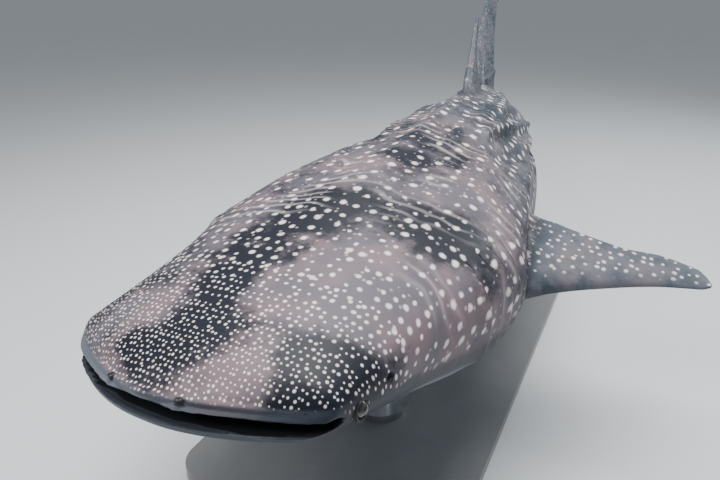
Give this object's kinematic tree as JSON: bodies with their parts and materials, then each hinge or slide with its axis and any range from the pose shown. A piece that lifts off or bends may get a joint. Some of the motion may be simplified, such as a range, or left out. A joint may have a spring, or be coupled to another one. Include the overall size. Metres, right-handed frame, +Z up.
{
  "type": "whale shark display model",
  "caption": "Life-size still model of a young whale shark swimming with its mouth slightly open, held over the floor by a flat base and short rods.",
  "frame": {"origin": "middle of the model's floor rectangle, on the floor under the stand", "axes": "+Z up, the head towards -Y, the shark's own left side towards +X"},
  "size_m": [2.5736, 5.7988, 1.9685],
  "materials": {
    "hide": "matt spotted skin, dark above and pale below",
    "eye": "wet gloss",
    "steel": "satin",
    "base": "dark satin paint"
  },
  "bodies": {
    "root": {"head": "hide", "lower_jaw": "hide", "eye_left": "eye", "eye_right": "eye", "gill_region": "hide", "shoulders": "hide", "trunk": "hide", "tail_stock": "hide", "dorsal_fin_first": "hide", "dorsal_fin_second": "hide", "anal_fin": "hide", "pectoral_fin_left": "hide", "pectoral_fin_right": "hide", "pelvic_fin_left": "hide", "pelvic_fin_right": "hide", "tail_fin_upper": "hide", "tail_fin_lower": "hide", "stand_base": "base", "stand_foot_1": "steel", "stand_rod_1": "steel", "stand_foot_2": "steel", "stand_rod_2": "steel"}
  },
  "joints": []
}
